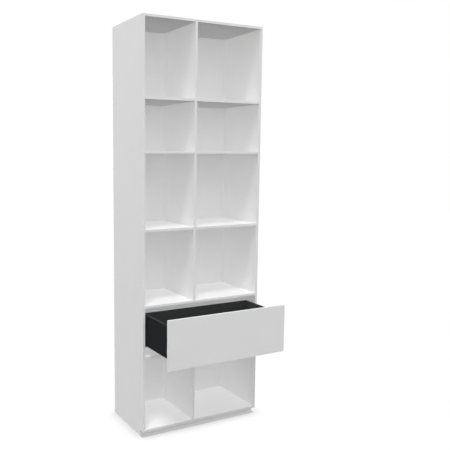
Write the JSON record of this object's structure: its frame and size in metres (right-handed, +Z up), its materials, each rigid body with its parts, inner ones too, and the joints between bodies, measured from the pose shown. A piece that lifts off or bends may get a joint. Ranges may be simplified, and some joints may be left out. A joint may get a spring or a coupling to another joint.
{
  "type": "bookcase with bottom drawers",
  "caption": "Tall slim bookcase with an off-centre divider, compartments of alternating height, a recessed plinth and a flat handleless drawer low down, pulled open.",
  "frame": {"origin": "bottom centre of the bounding box with the drawer in its rest position, pulled open; the carcass front is at y = -0.055 m", "axes": "+Z up, +Y towards the wall behind the bookcase, -Y towards the user and the way the drawer opens, +X to the right as seen from the front"},
  "size_m": [0.68, 0.59, 2.046],
  "materials": {
    "white_board": "white melamine, satin",
    "black_board": "anthracite melamine, matt",
    "steel": "galvanised",
    "screw_steel": "black zinc",
    "grey_plastic": "moulded, fine grain",
    "dark_plastic": "moulded"
  },
  "bodies": {
    "cabinet": {"side_panel_left": "white_board", "side_panel_right": "white_board", "top_panel": "white_board", "bottom_panel": "white_board", "drawer_bay_floor": "white_board", "drawer_bay_top": "white_board", "divider_upper": "white_board", "divider_lower": "white_board", "back_panel": "white_board", "shelf_left_1": "white_board", "shelf_left_2": "white_board", "shelf_left_3": "white_board", "shelf_right_1": "white_board", "shelf_right_2": "white_board", "shelf_right_3": "white_board", "shelf_wire_left_1_a": "steel", "shelf_wire_left_1_b": "steel", "shelf_wire_left_2_a": "steel", "shelf_wire_left_2_b": "steel", "shelf_wire_left_3_a": "steel", "shelf_wire_left_3_b": "steel", "shelf_wire_right_1_a": "steel", "shelf_wire_right_1_b": "steel", "shelf_wire_right_2_a": "steel", "shelf_wire_right_2_b": "steel", "shelf_wire_right_3_a": "steel", "shelf_wire_right_3_b": "steel", "plinth_front": "white_board", "plinth_back": "white_board", "levelling_foot_front_left": "grey_plastic", "levelling_foot_front_right": "grey_plastic", "levelling_foot_rear_left": "grey_plastic", "levelling_foot_rear_right": "grey_plastic", "wall_bracket_left": "steel", "wall_bracket_right": "steel", "latch_housing_left": "grey_plastic", "latch_housing_right": "grey_plastic", "runner_fixed_left": "steel", "runner_fixed_right": "steel"},
    "drawer": {"drawer_front": "white_board", "drawer_inner_front": "black_board", "drawer_side_left": "black_board", "drawer_side_right": "black_board", "drawer_back": "black_board", "drawer_bottom": "black_board", "front_screw_left_low": "screw_steel", "front_screw_left_high": "screw_steel", "front_screw_right_low": "screw_steel", "front_screw_right_high": "screw_steel", "runner_drawer_left": "steel", "runner_drawer_right": "steel", "runner_clip_left": "dark_plastic", "runner_clip_right": "dark_plastic"},
    "rail_left": {"runner_middle_left": "steel"},
    "rail_right": {"runner_middle_right": "steel"},
    "plunger_left": {"latch_plunger_left": "dark_plastic"},
    "plunger_right": {"latch_plunger_right": "dark_plastic"}
  },
  "joints": [
    {"name": "drawer_slide", "type": "slide", "parent": "cabinet", "child": "drawer", "axis": [0, -1, 0], "range_m": [-0.226, 0.024]},
    {"name": "rail_slide_left", "type": "slide", "parent": "cabinet", "child": "rail_left", "axis": [0, -1, 0], "range_m": [-0.113, 0.012]},
    {"name": "rail_slide_right", "type": "slide", "parent": "cabinet", "child": "rail_right", "axis": [0, -1, 0], "range_m": [-0.113, 0.012]},
    {"name": "plunger_press_left", "type": "slide", "parent": "cabinet", "child": "plunger_left", "axis": [0, 1, 0], "range_m": [0, 0.004], "stiffness_N_per_m": 400, "springref_m": -0.005},
    {"name": "plunger_press_right", "type": "slide", "parent": "cabinet", "child": "plunger_right", "axis": [0, 1, 0], "range_m": [0, 0.004], "stiffness_N_per_m": 400, "springref_m": -0.005}
  ],
  "couplings": [
    {"joint": "rail_slide_left", "follows": "drawer_slide", "ratio": 0.5},
    {"joint": "rail_slide_right", "follows": "drawer_slide", "ratio": 0.5}
  ]
}
